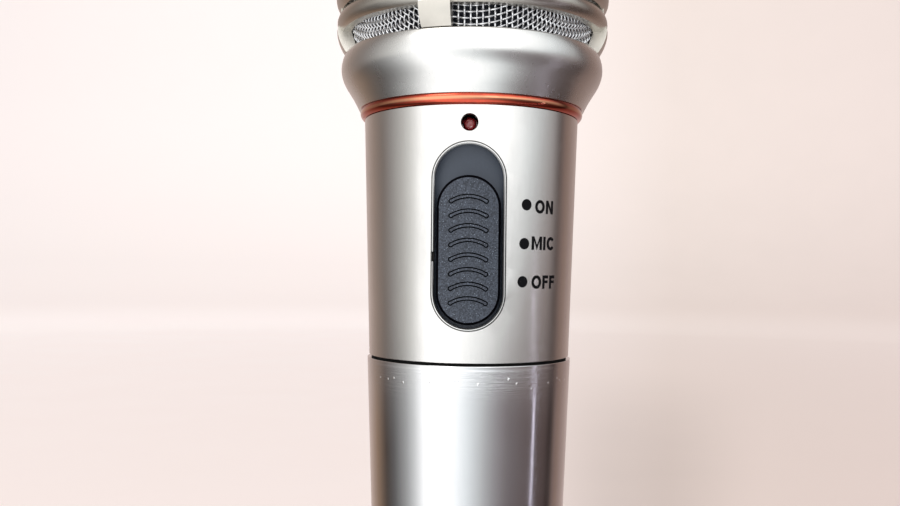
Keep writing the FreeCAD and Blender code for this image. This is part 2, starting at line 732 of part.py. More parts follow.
def connector_insert():
    """Plug insert: round socket with a latch groove and a key slot, solid behind the pins."""
    insert = disc(INSERT_BASE_Z, INSERT_TOP_Z, INSERT_R)
    insert = insert.cut(disc(INSERT_BASE_Z, SOCKET_TOP_Z, SOCKET_R))
    groove_base, groove_top, groove_r = LATCH_GROOVE
    insert = insert.cut(disc(groove_base, groove_top, groove_r))
    insert = insert.cut(block(-1.3, 1.3, 6.0, 9.4, groove_top, SOCKET_TOP_Z))
    for x, y in pin_places():
        insert = insert.cut(rod(x, y, SOCKET_TOP_Z, INSERT_TOP_Z, PIN_R))
    return insert


def pin_places():
    turns = (math.radians(90 + 120 * k + 60) for k in range(3))
    return [(PIN_CIRCLE_R * math.cos(a), PIN_CIRCLE_R * math.sin(a)) for a in turns]


def connector_pins():
    pins = []
    for x, y in pin_places():
        nose = Part.makeSphere(PIN_R, V(x, y, PIN_TIP_Z + PIN_R))
        pins.append(fused([nose, rod(x, y, PIN_TIP_Z + PIN_R, INSERT_TOP_Z + 3.5, PIN_R)]))
    return Part.makeCompound(pins)


def insert_screw():
    """Grub screw that locks the insert in the tail frame."""
    grub = Part.makeCylinder(1.2, 1.7, V(11.1, 0, GRUB_Z), X_AXIS)
    return grub.cut(block(12.3, 12.9, -0.25, 0.25, GRUB_Z - 1.3, GRUB_Z + 1.3))


# ---------------------------------------------------------------- cover

def seam_ring():
    """Thin dark gasket in the seam between the housing and the cover."""
    return ring(COVER_TOP_Z + 0.02, HOUSING_BASE_Z - 0.02, SLEEVE_R + RUNNING_GAP, 19.2)


def battery_cover():
    """Long tapered tube with a softened upper edge."""
    tube = frustum(TAIL_RING_Z, COVER_TOP_Z, cover_r(TAIL_RING_Z), COVER_TOP_R)
    top = edges_near(tube, lambda edge: len(edge.Vertexes) == 1 and edge.CenterOfMass.z > 100)
    tube = tube.makeFillet(SEAM_ROUND, top)
    bore = frustum(TAIL_RING_Z, COVER_TOP_Z, cover_r(TAIL_RING_Z) - COVER_WALL, COVER_TOP_R - COVER_WALL)
    return tube.cut(bore)


def cover_thread_ring():
    """Threaded liner pressed into the top of the cover."""
    return ring(118.4, 127.4, SLEEVE_R + RUNNING_GAP, cover_r(118.4) - COVER_WALL - 0.02)


def tail_ring():
    """Rounded end ring with a spigot inside the cover; the microphone stands on it."""
    bore = INSERT_R + 0.15
    lip = cover_r(TAIL_RING_Z)
    spigot = cover_r(TAIL_RING_Z) - COVER_WALL - 0.02
    outer = [arc((lip - 0.9, 0), (lip - 0.25, 0.3), (lip, 1.0)), line((lip, 1.0), (lip, TAIL_RING_Z)),
             line((lip, TAIL_RING_Z), (spigot, TAIL_RING_Z)), line((spigot, TAIL_RING_Z), (spigot, 9.0)),
             line((spigot, 9.0), (bore + 0.9, 9.0)), line((bore + 0.9, 9.0), (bore, 8.0)),
             line((bore, 8.0), (bore, 0.5)), line((bore, 0.5), (bore + 0.5, 0)),
             line((bore + 0.5, 0), (lip - 0.9, 0))]
    return turned(outer)


# ---------------------------------------------------------------- leads

def antenna_wire():
    """Insulated wire from the board down the trough to the tail."""
    return lead([(0, LEAD_Y, BOARD_BASE_Z), (0, LEAD_Y, 40.0)], [], 0.5)


def signal_leads():
    """Two leads from the board to the connector pins."""
    wires = []
    for x, (pin_x, pin_y) in zip((-1.15, 1.15), ((-3.464, -2.0), (3.464, -2.0))):
        top = INSERT_TOP_Z + 3.5
        wires.append(lead([(x, LEAD_Y, BOARD_BASE_Z), (x, LEAD_Y, 50.0), (pin_x, pin_y, 38.0),
                           (pin_x, pin_y, top)], [8.0, 8.0]))
    return Part.makeCompound(wires)


def supply_leads():
    """Battery leads from the contact tabs up to the board's face."""
    wires = []
    tab_z = bay_ends()[1]
    pad_z = BOARD_BASE_Z + 1.3
    for x in (-SUPPLY_X, SUPPLY_X):
        wires.append(lead([(x, SUPPLY_Y, tab_z), (x, SUPPLY_Y, pad_z), (x, BOARD_FRONT_Y, pad_z)], [1.2]))
    return Part.makeCompound(wires)


def capsule_leads():
    """Two fine leads from the top of the board to the capsule's back."""
    board_y = BOARD_FRONT_Y + BOARD_T / 2
    return Part.makeCompound([lead([(x, board_y, BOARD_TOP_Z), (x, board_y, CAPSULE_BASE_Z)], [], 0.35)
                              for x in (-2.5, 2.5)])


# ---------------------------------------------------------------- capsule

def shock_mount():
    """Soft rubber ring that hangs the capsule in the neck."""
    return turned(polygon([(CAPSULE_REAR_R + 0.05, 181.0), (NECK_IN_R - 0.05, 181.0),
                           (NECK_IN_R - 0.05, NECK_TOP_Z), (17.0, NECK_TOP_Z), (17.0, 188.2),
                           (16.2, CAPSULE_STEP_Z - 0.05), (CAPSULE_REAR_R + 0.05, CAPSULE_STEP_Z - 0.05)]))


def capsule_housing():
    """Stepped cup of the capsule, with vents in its back wall."""
    cup = fused([disc(CAPSULE_BASE_Z, CAPSULE_STEP_Z, CAPSULE_REAR_R),
                 disc(CAPSULE_STEP_Z, CAPSULE_TOP_Z, CAPSULE_R)])
    cup = cup.cut(disc(CAPSULE_BASE_Z + 1.2, YOKE_BASE_Z, CAPSULE_REAR_R - 1.2))
    cup = cup.cut(disc(YOKE_BASE_Z, CAPSULE_TOP_Z, CAPSULE_R - 0.9))
    for k in range(6):
        vent = rod(6.5, 0, CAPSULE_BASE_Z, CAPSULE_BASE_Z + 1.2, 0.9)
        cup = cup.cut(spun(vent, 60 * k))
    return cup


def capsule_yoke():
    """Steel pot around the magnet."""
    pot = disc(YOKE_BASE_Z, YOKE_TOP_Z, 12.8)
    return pot.cut(disc(YOKE_BASE_Z + 1.5, YOKE_TOP_Z, 9.95))


def capsule_magnet():
    return disc(YOKE_BASE_Z + 1.5, 197.0, 8.2)


def pole_plate():
    return disc(197.0, YOKE_TOP_Z, 8.6)


def voice_coil():
    return ring(196.2, RIM_Z, COIL_IN_R, COIL_OUT_R)


def diaphragm():
    """Thin domed membrane with a flat rim, bonded to the coil."""
    centre = V(0, 0, DOME_TOP_Z - DOME_R)
    shell = Part.makeSphere(DOME_R, centre).cut(Part.makeSphere(DOME_R - FILM_T, centre))
    dome = shell.common(disc(RIM_Z, DOME_TOP_Z + 1, COIL_OUT_R))
    return fused([dome, ring(RIM_Z, RIM_Z + FILM_T, COIL_IN_R, COIL_OUT_R + 0.4)])


def diaphragm_surround():
    """Rolled edge that carries the membrane in the capsule."""
    roll = arc((10.2, RIM_Z), (11.3, RIM_Z + 0.9), (12.4, RIM_Z))
    back = arc((10.35, RIM_Z), (11.3, RIM_Z + 0.75), (12.25, RIM_Z))
    skin = turned([roll, line((12.4, RIM_Z), (12.25, RIM_Z)), back, line((10.35, RIM_Z), (10.2, RIM_Z))])
    return skin.fuse(ring(RIM_Z - 0.2, RIM_Z, 12.2, CAPSULE_R - 0.95)).removeSplitter()


def surround_spacer():
    return ring(YOKE_TOP_Z, RIM_Z - 0.2, 12.3, CAPSULE_R - 0.95)


def capsule_felt():
    return disc(205.0, 205.9, CAPSULE_R - 0.95)


def capsule_cap():
    """Front disc of the capsule with a ring of sound holes."""
    cap = disc(CAPSULE_TOP_Z, CAPSULE_TOP_Z + 1.2, CAPSULE_R)
    cap = cap.makeFillet(0.5, edges_near(cap, lambda edge: edge.CenterOfMass.z > CAPSULE_TOP_Z + 1.1))
    hole = rod(8.0, 0, CAPSULE_TOP_Z, CAPSULE_TOP_Z + 1.2, 1.9)
    for k in range(6):
        cap = cap.cut(spun(hole, 60 * k))
    return cap.cut(disc(CAPSULE_TOP_Z, CAPSULE_TOP_Z + 1.2, 2.2))


SUB_PARTS = (
    head_collar, grille_cage, top_cap, grille_mesh, foam_windscreen, mesh_retainer, accent_ring,
    upper_housing, slot_trim, switch_knob, switch_lever, switch_backplate, slide_switch_body,
    lamp_lens, lamp_leads, neck_sleeve, joint_sleeve, board_frame, circuit_board, board_screws,
    radio_shield, audio_chip, crystal, board_capacitors, chip_resistors, frame_screws,
    battery_holder, left_cell, right_cell, battery_springs, battery_contacts, tail_frame,
    tail_screws, connector_insert, connector_pins, insert_screw, seam_ring, battery_cover,
    cover_thread_ring, tail_ring, antenna_wire, signal_leads, supply_leads, capsule_leads,
    shock_mount, capsule_housing, capsule_yoke, capsule_magnet, pole_plate, voice_coil, diaphragm,
    diaphragm_surround, surround_spacer, capsule_felt, capsule_cap,
)

os.makedirs("parts", exist_ok=True)
for make in SUB_PARTS:
    shape = make()
    shape.exportStep("parts/" + make.__name__ + ".step")
    print(make.__name__, len(shape.Solids), shape.isValid(), round(shape.Volume, 3))
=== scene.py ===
import math

import bmesh
import bpy
from mathutils import Matrix, Vector, noise


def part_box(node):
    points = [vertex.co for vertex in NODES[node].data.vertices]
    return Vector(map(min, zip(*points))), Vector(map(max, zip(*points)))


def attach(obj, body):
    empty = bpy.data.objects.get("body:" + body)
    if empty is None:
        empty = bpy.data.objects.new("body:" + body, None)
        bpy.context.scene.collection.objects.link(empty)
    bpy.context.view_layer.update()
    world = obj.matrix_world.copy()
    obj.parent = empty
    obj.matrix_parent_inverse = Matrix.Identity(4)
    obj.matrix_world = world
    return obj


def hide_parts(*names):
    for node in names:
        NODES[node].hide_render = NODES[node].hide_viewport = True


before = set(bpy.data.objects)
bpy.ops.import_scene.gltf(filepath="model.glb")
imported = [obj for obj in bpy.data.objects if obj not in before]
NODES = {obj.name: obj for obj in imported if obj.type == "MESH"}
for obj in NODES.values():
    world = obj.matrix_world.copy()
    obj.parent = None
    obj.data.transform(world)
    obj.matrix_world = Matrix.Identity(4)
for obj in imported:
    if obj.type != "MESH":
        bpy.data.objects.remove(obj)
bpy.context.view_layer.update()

MM = 0.001
DEGREES = 180 / math.pi


# ---------------------------------------------------------------- node graphs

class Graph:
    """Short names for the nodes that the materials and the room light are made of."""

    def __init__(self, tree):
        self.tree = tree
        self.tree.nodes.clear()

    def add(self, kind, inputs=None, **settings):
        node = self.tree.nodes.new(kind)
        for key, value in settings.items():
            setattr(node, key, value)
        for key, value in (inputs or {}).items():
            self.feed(node.inputs[key], value)
        return node

    def feed(self, socket, value):
        if isinstance(value, bpy.types.NodeSocket):
            self.tree.links.new(value, socket)
        elif isinstance(value, tuple) and len(value) == 3 and socket.type == "RGBA":
            socket.default_value = (*value, 1.0)
        else:
            socket.default_value = value

    def math(self, operation, a, b=0.0, clamp=False):
        node = self.add("ShaderNodeMath", {0: a, 1: b}, operation=operation, use_clamp=clamp)
        return node.outputs[0]

    def times(self, a, b):
        return self.math("MULTIPLY", a, b)

    def plus(self, a, b):
        return self.math("ADD", a, b)

    def band(self, value, low, high, soft):
        """1 between low and high, falling to 0 over the width soft on each side."""
        up = self.span(value, low - soft, low)
        down = self.span(value, high + soft, high)
        return self.times(up, down)

    def span(self, value, start, end, low=0.0, high=1.0, smooth=True):
        """Maps start..end to low..high, clamped."""
        kind = "SMOOTHSTEP" if smooth else "LINEAR"
        node = self.add("ShaderNodeMapRange", {"Value": value, "From Min": start, "From Max": end,
                                               "To Min": low, "To Max": high}, interpolation_type=kind)
        return node.outputs["Result"]

    def ramp(self, value, stops):
        """A colour ramp whose stops are (place, colour) pairs with places from 0 to 1."""
        node = self.add("ShaderNodeValToRGB", {"Fac": value})
        elements = node.color_ramp.elements
        while len(elements) < len(stops):
            elements.new(0.5)
        for element, (place, colour) in zip(elements, stops):
            element.position = place
            element.color = (*colour, 1.0) if isinstance(colour, tuple) else (*[colour] * 3, 1.0)
        return node.outputs["Color"]

    def mix(self, factor, a, b, blend="MIX"):
        node = self.add("ShaderNodeMix", data_type="RGBA", blend_type=blend)
        for index, value in ((0, factor), (6, a), (7, b)):
            self.feed(node.inputs[index], value)
        return node.outputs[2]

    def noise(self, vector, scale, detail=2.0, rough=0.5, distort=0.0):
        node = self.add("ShaderNodeTexNoise", {"Vector": vector, "Scale": scale, "Detail": detail,
                                               "Roughness": rough, "Distortion": distort})
        return node.outputs["Fac"]

    def cells(self, vector, scale, dimensions="3D"):
        node = self.add("ShaderNodeTexVoronoi", voronoi_dimensions=dimensions)
        self.feed(node.inputs["Vector"], vector)
        self.feed(node.inputs["Scale"], scale)
        return node.outputs["Distance"]

    def parts(self, vector):
        node = self.add("ShaderNodeSeparateXYZ", {"Vector": vector})
        return node.outputs["X"], node.outputs["Y"], node.outputs["Z"]


class Finish(Graph):
    """A procedural material around one Principled shader; places are in millimetres."""

    def __init__(self, name, **fixed):
        self.material = bpy.data.materials.new(name)
        self.material.use_nodes = True
        super().__init__(self.material.node_tree)
        self.shader = self.add("ShaderNodeBsdfPrincipled")
        for key, value in fixed.items():
            self.feed(self.shader.inputs[SOCKETS[key]], value)
        output = self.add("ShaderNodeOutputMaterial")
        self.feed(output.inputs["Surface"], self.shader.outputs[0])
        place = self.add("ShaderNodeTexCoord").outputs["Object"]
        inputs = {"Vector": place, "Scale": (1000.0, 1000.0, 1000.0)}
        self.place = self.add("ShaderNodeMapping", inputs).outputs[0]
        self.relief = None

    def stretched(self, x, y, z):
        return self.add("ShaderNodeMapping", {"Vector": self.place, "Scale": (x, y, z)}).outputs[0]

    def colour(self, value):
        self.feed(self.shader.inputs["Base Color"], value)

    def rough(self, value):
        self.feed(self.shader.inputs["Roughness"], value)

    def bump(self, height, depth, strength=1.0):
        """Adds relief; depth is the height's full range in millimetres."""
        inputs = {"Height": height, "Distance": depth * MM, "Strength": strength}
        if self.relief is not None:
            inputs["Normal"] = self.relief
        self.relief = self.add("ShaderNodeBump", inputs).outputs["Normal"]
        self.feed(self.shader.inputs["Normal"], self.relief)


SOCKETS = {
    "metallic": "Metallic", "coat": "Coat Weight", "coat_rough": "Coat Roughness", "ior": "IOR",
    "transmission": "Transmission Weight", "specular": "Specular IOR Level", "sheen": "Sheen Weight",
    "subsurface": "Subsurface Weight", "anisotropic": "Anisotropic",
}


# ---------------------------------------------------------------- camera, stage and light

# The housing is a cone: its radius at the seam in millimetres, and how much it gains per
# millimetre of height.
HOUSING_LOW, HOUSING_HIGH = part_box("upper_housing")
HOUSING_BASE_R = 19.65
SLOPE = (HOUSING_HIGH.x / MM - HOUSING_BASE_R) / ((HOUSING_HIGH.z - HOUSING_LOW.z) / MM)
SEAM_Z = HOUSING_LOW.z
CAMERA_PLACE = Vector((0.00206, -0.17992, SEAM_Z + 0.01685))
CAMERA_TURNS = (("Z", 1.9), ("X", 90.98), ("Z", 0.65))
LENS = 36.1
SENSOR = 36.0


def make_camera():
    data = bpy.data.cameras.new("camera")
    data.lens = LENS
    data.sensor_width = SENSOR
    data.clip_start = 0.005
    data.clip_end = 20.0
    camera = bpy.data.objects.new("camera", data)
    bpy.context.scene.collection.objects.link(camera)
    pose = Matrix.Translation(CAMERA_PLACE)
    for axis, degrees in CAMERA_TURNS:
        pose = pose @ Matrix.Rotation(math.radians(degrees), 4, axis)
    camera.matrix_world = pose
    bpy.context.scene.camera = camera
    bpy.context.scene.view_settings.view_transform = "Standard"


STAGE_R = 2.6
STAGE_H = 2.6
STAGE_BEND = 0.7
STAGE_LEFT = (0.87, 0.79, 0.768)
# The paper's painted light and shade turn about this point.
STAGE_TURN_Y = 180.0    # millimetres; close to the main camera's place


def turned_mesh(name, profile, count, closed=True):
    """A surface of revolution about Z from (radius, height) points in metres."""
    mesh = bmesh.new()
    rings = []
    for radius, height in profile:
        if radius < 1e-7:
            rings.append([mesh.verts.new((0, 0, height))])
            continue
        turns = (2 * math.pi * k / count for k in range(count))
        rings.append([mesh.verts.new((radius * math.cos(a), radius * math.sin(a), height))
                      for a in turns])
    pairs = list(zip(rings, rings[1:]))
    if closed:
        pairs.append((rings[-1], rings[0]))
    for low, high in pairs:
        for k in range(count):
            after = (k + 1) % count
            corners = [low[k % len(low)], low[after % len(low)],
                       high[after % len(high)], high[k % len(high)]]
            corners = list(dict.fromkeys(corners))
            if len(corners) > 2:
                mesh.faces.new(corners)
    return as_object(mesh, name)


def as_object(mesh, name, smooth=True):
    bmesh.ops.recalc_face_normals(mesh, faces=mesh.faces[:])
    for face in mesh.faces:
        face.smooth = smooth
    data = bpy.data.meshes.new(name)
    mesh.to_mesh(data)
    mesh.free()
    piece = bpy.data.objects.new(name, data)
    bpy.context.scene.collection.objects.link(piece)
    return piece


def make_stage():
    """Round pale floor that curves up into a wall all round."""
    steps = 16
    bend = [(STAGE_R - STAGE_BEND + STAGE_BEND * math.sin(a), STAGE_BEND - STAGE_BEND * math.cos(a))
            for a in (math.pi / 2 * k / steps for k in range(steps + 1))]
    profile = [(0, 0), (0.6, 0)] + bend + [(STAGE_R, STAGE_H)]
    stage = turned_mesh("stage", profile, 128, closed=False)
    for face in stage.data.polygons:
        if face.normal.dot(face.center - Vector((0, 0, 1.5))) > 0:
            face.flip()
    stage.data.materials.append(stage_paper())
    stage.visible_glossy = False
    stage.visible_diffuse = False
    stage.visible_transmission = False
    stage.visible_shadow = False


def stage_paper():
    """Warm pale paper with a faint grain, with painted light and shade on it.

    The painted light and shade are fixed to the paper. They change with the direction from a point
    STAGE_TURN_Y in front of the object's axis, darker to the right with a painted shadow there,
    and with the height and the distance, fade out under the object, and glow faintly."""
    finish = Finish("stage_paper", specular=0.1)
    x, y, z = finish.parts(finish.place)
    turn = finish.times(finish.math("ARCTAN2", x, finish.plus(y, STAGE_TURN_Y)), DEGREES)
    across = finish.span(turn, -60.0, 90.0, smooth=False)
    # Darker in a band to the right of the object: painted shade on the paper.
    paper_and_painted_light = finish.ramp(across, [(0.0, STAGE_LEFT), (0.39, STAGE_LEFT), (0.48, (0.72, 0.628, 0.585)),
                                (0.58, (0.73, 0.628, 0.595)), (1.0, STAGE_LEFT)])
    reach = finish.math("SQRT", finish.plus(finish.times(x, x), finish.times(y, y)))
    away = finish.math("MAXIMUM", finish.span(reach, 180.0, 390.0), finish.span(z, 0.0, 20.0))
    paper_and_painted_light = finish.mix(away, STAGE_LEFT, paper_and_painted_light)
    # Brightness that changes with the height: painted light.
    painted_height_light = finish.ramp(finish.span(z, 0.0, 700.0, smooth=False),
                       [(0.0, 0.98), (0.02, 0.95), (0.1, 0.90), (0.22, 0.87), (0.45, 0.875),
                        (1.0, 0.925)])
    paper_and_painted_light = finish.mix(1.0, paper_and_painted_light, painted_height_light, "MULTIPLY")
    # The far floor is painted brighter: painted light.
    far = finish.times(finish.span(reach, 500.0, 1800.0, smooth=False), finish.span(z, 60.0, 0.0))
    paper_and_painted_light = finish.mix(far, paper_and_painted_light, finish.mix(1.0, paper_and_painted_light, (1.11, 1.135, 1.15), "MULTIPLY"))
    # A soft dark patch to the right of the object: painted shadow.
    shade = finish.times(finish.band(turn, 9.0, 11.0, 7.0),
                         finish.times(away, finish.span(reach, 1300.0, 350.0, 0.0, 0.17)))
    paper_and_painted_light = finish.mix(shade, paper_and_painted_light, (0.0, 0.0, 0.0))
    grain = finish.noise(finish.place, 0.01, 3.0)
    finish.colour(finish.mix(finish.span(grain, 0.3, 0.7, 0.0, 0.06), paper_and_painted_light, (0.8, 0.68, 0.64)))
    finish.rough(finish.span(grain, 0.0, 1.0, 0.75, 0.9))
    finish.bump(finish.noise(finish.place, 0.6, 4.0), 0.05)
    # A faint glow in the paper's painted colours: painted light.
    finish.feed(finish.shader.inputs["Emission Color"], paper_and_painted_light)
    finish.shader.inputs["Emission Strength"].default_value = 0.12
    return finish.material


def make_room():
    """Soft window light from the front left that falls off to the right, over a pale table.

    Azimuth is 0 straight in front of the switch and grows to the right; height is 0 at the
    horizon. Both are in degrees, and so are the stops of the ramps below."""
    world = bpy.data.worlds.new("room")
    bpy.context.scene.world = world
    world.use_nodes = True
    g = Graph(world.node_tree)
    x, y, z = g.parts(g.add("ShaderNodeTexCoord").outputs["Generated"])
    azimuth = g.times(g.math("ARCTAN2", x, g.times(y, -1.0)), DEGREES)
    height = g.times(g.math("ARCSINE", z), DEGREES)
    light = g.mix(1.0, walls(g, azimuth, height), fall_off(g, azimuth, height), "MULTIPLY")
    pane = g.times(g.band(azimuth, 15.0, 27.0, 1.5), g.span(height, -4.0, -2.0))
    light = g.mix(pane, light, g.mix(1.0, light, (1.3, 1.3, 1.3), "MULTIPLY"))
    light = g.mix(thin_light(g, azimuth, height), light, (2.2, 2.1, 2.5))
    shade = g.add("ShaderNodeBackground", {"Color": light, "Strength": 1.0})
    output = g.add("ShaderNodeOutputWorld")
    g.feed(output.inputs["Surface"], shade.outputs[0])


def degree_ramp(g, value, low, high, stops):
    """A colour ramp whose stops are (degrees, colour) pairs between low and high degrees."""
    return g.ramp(g.span(value, low, high, smooth=False),
                  [((degrees - low) / (high - low), colour) for degrees, colour in stops])


def walls(g, azimuth, height):
    """The room before the light falls off: dark at both sides, the table's colour behind."""
    table = (0.64, 0.52, 0.48)
    near_left = [(-180, table), (-160, (0.62, 0.50, 0.46)), (-128, (0.34, 0.26, 0.22)),
                 (-107, (0.20, 0.165, 0.15)), (-92, (0.33, 0.31, 0.30)), (-74, (0.58, 0.57, 0.55)),
                 (-62, (0.88, 0.88, 0.86)), (-50, 1.5)]
    far_left = [(-180, table), (-160, (0.60, 0.47, 0.42)), (-128, (0.30, 0.20, 0.14)),
                (-107, (0.072, 0.054, 0.046)), (-92, (0.12, 0.115, 0.115)), (-74, (0.37, 0.37, 0.37)),
                (-62, (0.70, 0.71, 0.71)), (-46, 1.5)]
    right = [(98, 1.5), (112, (0.17, 0.12, 0.11)), (128, (0.28, 0.19, 0.16)),
             (160, (0.50, 0.39, 0.36)), (180, table)]
    upper = degree_ramp(g, azimuth, -180.0, 180.0, near_left + right)
    lower = degree_ramp(g, azimuth, -180.0, 180.0, far_left + right)
    return g.mix(g.span(height, -6.0, -13.0), upper, lower)


def window_edge(g, height):
    """The azimuth of the window's right edge, which changes with the height."""
    places = [(-90, 70), (-60, 60), (-45, 42), (-26, 16), (-14, 14), (-8, 34), (6, 80), (30, 95),
              (90, 100)]
    edge = g.add("ShaderNodeFloatCurve", {"Value": g.span(height, -90.0, 90.0, smooth=False)})
    line = edge.mapping.curves[0]
    line.points[0].location = (0.0, places[0][1] / 100)
    line.points[1].location = (1.0, places[-1][1] / 100)
    for degrees, place in places[1:-1]:
        line.points.new((degrees + 90) / 180, place / 100)
    edge.mapping.update()
    return g.times(edge.outputs[0], 100.0)


def fall_off(g, azimuth, height):
    """How the light fades beyond the window's edge, faster and deeper low down."""
    beyond = g.math("SUBTRACT", azimuth, window_edge(g, height))
    fall = degree_ramp(g, beyond, -60.0, 100.0,
                       [(-45, 1.0), (-27, (0.80, 0.82, 0.83)), (-14, (0.60, 0.63, 0.64)),
                        (-4, (0.45, 0.465, 0.475)), (7, (0.33, 0.33, 0.33)), (18, (0.26, 0.24, 0.24)),
                        (30, (0.21, 0.18, 0.175)), (57, (0.15, 0.12, 0.115)), (80, (0.10, 0.075, 0.07))])
    deep = degree_ramp(g, beyond, 0.0, 80.0,
                       [(0, 1.0), (17.6, (0.78, 0.79, 0.82)), (36, (0.56, 0.56, 0.60)),
                        (80, (0.60, 0.56, 0.56))])
    fall = g.mix(g.span(height, -9.0, -13.0), fall, g.mix(1.0, fall, deep, "MULTIPLY"))
    return g.mix(g.span(azimuth, 108.0, 119.0), fall, (1.0, 1.0, 1.0))


def thin_light(g, azimuth, height):
    """1 on a thin upright lilac tube far to the right, wider at its upper end."""
    sway = g.times(g.math("SINE", g.times(height, 0.35)), 0.4)
    centre = g.plus(g.span(height, -3.0, -12.0, 76.0, 80.0), sway)
    off = g.math("ABSOLUTE", g.math("SUBTRACT", azimuth, centre))
    half = g.span(height, -3.0, -8.0, 2.0, 0.65)
    inside = g.span(g.math("SUBTRACT", off, half), 0.25, -0.25)
    return g.times(inside, g.band(height, -62.0, -4.8, 0.6))


def make_lamp():
    """One large soft studio light above and to the left of the camera."""
    data = bpy.data.lights.new("soft_key", "AREA")
    data.shape = "DISK"
    data.size = 0.9
    data.energy = 9.0
    data.color = (1.0, 0.97, 0.94)
    lamp = bpy.data.objects.new("soft_key", data)
    bpy.context.scene.collection.objects.link(lamp)
    lamp.location = (-0.7, -1.0, 1.5)
    aim = Vector((0, 0, 0.1)) - lamp.location
    lamp.rotation_mode = "QUATERNION"
    lamp.rotation_quaternion = aim.to_track_quat("-Z", "Y")


# ---------------------------------------------------------------- finishes

NOTCH_LOW = 148.35
NOTCH_HIGH = 150.05


def smudges(finish, low, high, scale=0.09):
    """Roughness that varies softly, as handled metal does, with a few finer streaks."""
    soft = finish.noise(finish.place, scale, 3.0, 0.55)
    fine = finish.noise(finish.stretched(1.0, 1.0, 0.25), 1.7, 2.0)
    both = finish.plus(finish.times(soft, 0.75), finish.times(fine, 0.25))
    finish.rough(finish.span(both, 0.3, 0.7, low, high))
    return both


def satin_silver(name, base, low, high, coat=0.2):
    finish = Finish(name, metallic=1.0, coat=coat, coat_rough=0.08)
    both = smudges(finish, low, high)
    dull = tuple(0.93 * c for c in base)
    finish.colour(finish.mix(finish.span(both, 0.3, 0.75), base, dull))
    finish.bump(finish.noise(finish.place, 0.7, 2.0), 0.004)
    finish.bump(finish.noise(finish.place, 9.0, 2.0), 0.0006)
    return finish


def slot_reach(finish):
    """Distance from the outer line of the slot's frame, and how far beyond its straight part."""
    low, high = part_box("slot_trim")
    middle = (low.z + high.z) / 2 / MM
    half = (high.x - low.x) / 2 / MM
    reach = (high.z - low.z) / 2 / MM - half
    x, _, z = finish.parts(finish.place)
    along = finish.plus(z, -middle)
    straight = finish.math("MINIMUM", finish.math("MAXIMUM", along, -reach), reach)
    over = finish.math("SUBTRACT", along, straight)
    away = finish.math("SQRT", finish.plus(finish.times(x, x), finish.times(over, over)))
    return finish.plus(away, -half), over


def housing_silver(name):
    """Satin shell with a dark hairline painted round the slot as shade."""
    finish = satin_silver(name, (0.80, 0.785, 0.765), 0.20, 0.27)
    off, _ = slot_reach(finish)
    _, y, _ = finish.parts(finish.place)
    # A near-black hairline along the slot's outer edge: painted shade.
    painted_shade = finish.times(finish.span(off, 0.26, 0.18), finish.span(y, -8.0, -9.0))
    tone = finish.shader.inputs["Base Color"].links[0].from_socket
    finish.colour(finish.mix(finish.times(painted_shade, 0.85), tone, (0.02, 0.022, 0.020)))
    return finish.material


def trim_silver(name):
    """Bright frame of the slot; its outer wall and the notch are painted near-black as shade."""
    finish = satin_silver(name, (0.80, 0.80, 0.79), 0.30, 0.42, coat=0.1)
    shape = finish.add("ShaderNodeNewGeometry")
    nx, _, nz = finish.parts(shape.outputs["Normal"])
    x, _, z = finish.parts(finish.place)
    _, over = slot_reach(finish)
    away = finish.plus(finish.times(nx, x), finish.times(nz, over))
    # The frame's outer wall and the notch are painted near-black: painted shade.
    painted_shade = finish.span(away, 1.5, 3.5)
    notch = finish.times(finish.band(z, NOTCH_LOW, NOTCH_HIGH, 0.05), finish.span(x, -5.0, -5.6))
    painted_shade = finish.math("MAXIMUM", painted_shade, notch)
    tone = finish.shader.inputs["Base Color"].links[0].from_socket
    finish.colour(finish.mix(painted_shade, tone, (0.012, 0.011, 0.010)))
    return finish.material


def cover_aluminium(name):
    """Aluminium tube with fine turned lines and a row of small bright dents under the seam."""
    finish = Finish(name, metallic=1.0, coat=0.1, coat_rough=0.05)
    both = smudges(finish, 0.12, 0.18)
    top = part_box("battery_cover")[1].z / MM
    x, y, z = finish.parts(finish.place)
    lines = finish.noise(finish.stretched(0.04, 0.04, 1.0), 3.2, 4.0, 0.75)
    zone = finish.band(z, top - 1.6, top - 1.0, 7.0)
    zone = finish.times(zone, finish.span(z, top - 0.45, top - 1.0))
    finish.bump(finish.times(lines, zone), 0.022)
    finish.bump(finish.noise(finish.stretched(0.3, 0.3, 1.0), 2.0, 2.0), 0.0012)
    round_way = finish.times(finish.math("ARCTAN2", y, x), 20.0)
    flat = finish.add("ShaderNodeCombineXYZ", {"X": round_way, "Y": z}).outputs[0]
    dots = finish.cells(flat, 0.36, dimensions="2D")
    row = finish.band(z, top - 4.2, top - 2.3, 0.4)
    speck = finish.times(finish.span(dots, 0.09, 0.05), row)
    base = finish.mix(finish.span(both, 0.3, 0.75), (0.84, 0.84, 0.85), (0.78, 0.78, 0.79))
    finish.colour(finish.mix(speck, base, (1.0, 1.0, 1.0)))
    finish.bump(speck, 0.05)
    return finish.material


def accent_red(name):
    """Red-orange anodised bead with a painted cream highlight along its crown."""
    finish = Finish(name, metallic=1.0, coat=0.8, coat_rough=0.05)
    both = smudges(finish, 0.08, 0.14, 0.3)
    red = finish.mix(finish.span(both, 0.3, 0.7), (0.62, 0.070, 0.024), (0.48, 0.046, 0.016))
    shape = finish.add("ShaderNodeNewGeometry")
    _, _, nz = finish.parts(shape.outputs["Normal"])
    # A cream band where the bead's crown faces level: painted highlight.
    crown = finish.band(nz, -0.22, -0.02, 0.22)
    finish.colour(finish.mix(finish.times(crown, 0.5), red, (0.92, 0.56, 0.30)))
    finish.bump(finish.noise(finish.place, 1.2, 2.0), 0.003)
    return finish.material


